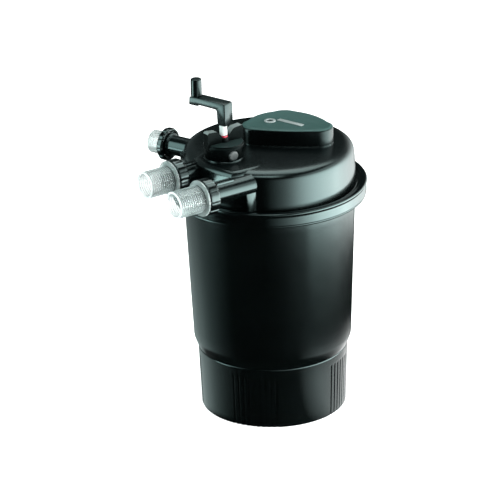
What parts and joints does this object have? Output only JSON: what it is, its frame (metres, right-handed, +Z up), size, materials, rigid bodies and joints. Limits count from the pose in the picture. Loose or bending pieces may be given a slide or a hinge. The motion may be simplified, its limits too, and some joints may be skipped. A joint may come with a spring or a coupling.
{
  "type": "pressurized pond filter",
  "caption": "Free-standing pressure filter for pond water: drum tank with clamped head, hose ports, selector valve, hand crank turning a foam cartridge, and an ultraviolet lamp unit.",
  "frame": {"origin": "centre of the foot's underside, on the floor", "axes": "+Z up along the tank axis; the two clear hose tails point along -Y; the rinse port points towards -X"},
  "size_m": [0.3943, 0.481, 0.6875],
  "materials": {
    "black_moulding": "semi-gloss",
    "black_satin": "satin",
    "cover_satin": "satin",
    "rubber": "matt",
    "clear_plastic": "clear",
    "white_plastic": "satin",
    "red_plastic": "satin",
    "silver_plastic": "satin metallic",
    "stainless_steel": "brushed",
    "quartz_glass": "clear",
    "foam_blue": "open-cell foam",
    "foam_red": "open-cell foam",
    "grey_plastic": "satin",
    "smoked_lens": "clear tinted"
  },
  "bodies": {
    "base": {"foot_skirt": "black_moulding", "tank_shell": "black_moulding", "head_oring": "rubber", "head_shell": "black_moulding", "port_gasket_a": "rubber", "port_gasket_b": "rubber", "port_gasket_c": "rubber", "hose_tail_a": "clear_plastic", "hose_tail_b": "clear_plastic", "clear_collar_a": "clear_plastic", "clear_collar_b": "clear_plastic", "rinse_stub": "clear_plastic", "valve_oring": "rubber", "sleeve_oring": "rubber", "sleeve_nut": "grey_plastic", "quartz_sleeve": "quartz_glass", "uv_lamp": "white_plastic", "lamp_holder": "white_plastic", "ballast_unit": "grey_plastic", "floor_pivot": "grey_plastic", "bottom_grid": "grey_plastic"},
    "ring": {"locking_ring": "black_moulding"},
    "selector": {"selector_knob": "black_satin", "pointer_ring": "red_plastic", "valve_rotor": "grey_plastic"},
    "button": {"lock_button": "grey_plastic"},
    "rotor": {"cartridge_gear": "white_plastic", "cartridge_top_plate": "grey_plastic", "cartridge_bottom_plate": "grey_plastic", "core_tube": "grey_plastic", "foam_ring_1": "foam_blue", "foam_ring_2": "foam_red", "foam_ring_3": "foam_blue", "foam_ring_4": "foam_red"},
    "crank": {"crank_arm": "black_moulding", "grip_pin": "stainless_steel", "crank_shaft": "stainless_steel", "shaft_bush": "white_plastic", "drive_pinion": "white_plastic"},
    "grip": {"crank_grip": "black_moulding"},
    "nut_a": {"union_nut_a": "black_moulding"},
    "nut_b": {"union_nut_b": "black_moulding"},
    "nut_c": {"union_nut_c": "black_moulding"},
    "cover": {"lamp_cover": "cover_satin", "indicator_bezel": "silver_plastic", "indicator_lens": "smoked_lens", "blank_badge": "silver_plastic", "cable_gland": "rubber"}
  },
  "joints": [
    {"name": "ring_turn", "type": "hinge", "parent": "base", "child": "ring", "pos_m": [0, 0, 0.452], "axis": [0, 0, 1], "range_deg": [0, 20]},
    {"name": "selector_turn", "type": "hinge", "parent": "base", "child": "selector", "pos_m": [0.0121, -0.11185, 0.5456], "axis": [0, 0, 1], "range_deg": [0, 180]},
    {"name": "button_press", "type": "slide", "parent": "selector", "child": "button", "axis": [-0.9945, 0.1045, 0], "range_m": [0, 0.002]},
    {"name": "cartridge_spin", "type": "hinge", "parent": "base", "child": "rotor", "pos_m": [0, 0, 0.428], "axis": [0, 0, 1], "continuous": true},
    {"name": "crank_spin", "type": "hinge", "parent": "base", "child": "crank", "pos_m": [0.0121, -0.11185, 0.428], "axis": [0, 0, 1], "continuous": true},
    {"name": "grip_spin", "type": "hinge", "parent": "crank", "child": "grip", "pos_m": [-0.05038, -0.12976, 0.6525], "axis": [0, 0, 1], "continuous": true},
    {"name": "nut_a_turn", "type": "hinge", "parent": "base", "child": "nut_a", "pos_m": [0.107, -0.209, 0.516], "axis": [0, -1, 0], "range_deg": [0, 360]},
    {"name": "nut_b_turn", "type": "hinge", "parent": "base", "child": "nut_b", "pos_m": [-0.012, -0.199, 0.516], "axis": [0, -1, 0], "range_deg": [0, 360]},
    {"name": "nut_c_turn", "type": "hinge", "parent": "base", "child": "nut_c", "pos_m": [-0.16078, -0.12312, 0.518], "axis": [-0.9272, -0.3746, 0], "range_deg": [0, 360]},
    {"name": "cover_lift", "type": "slide", "parent": "base", "child": "cover", "axis": [0, 0, 1], "range_m": [0, 0.04]}
  ],
  "couplings": [
    {"joint": "crank_spin", "follows": "cartridge_spin", "ratio": -4}
  ]
}
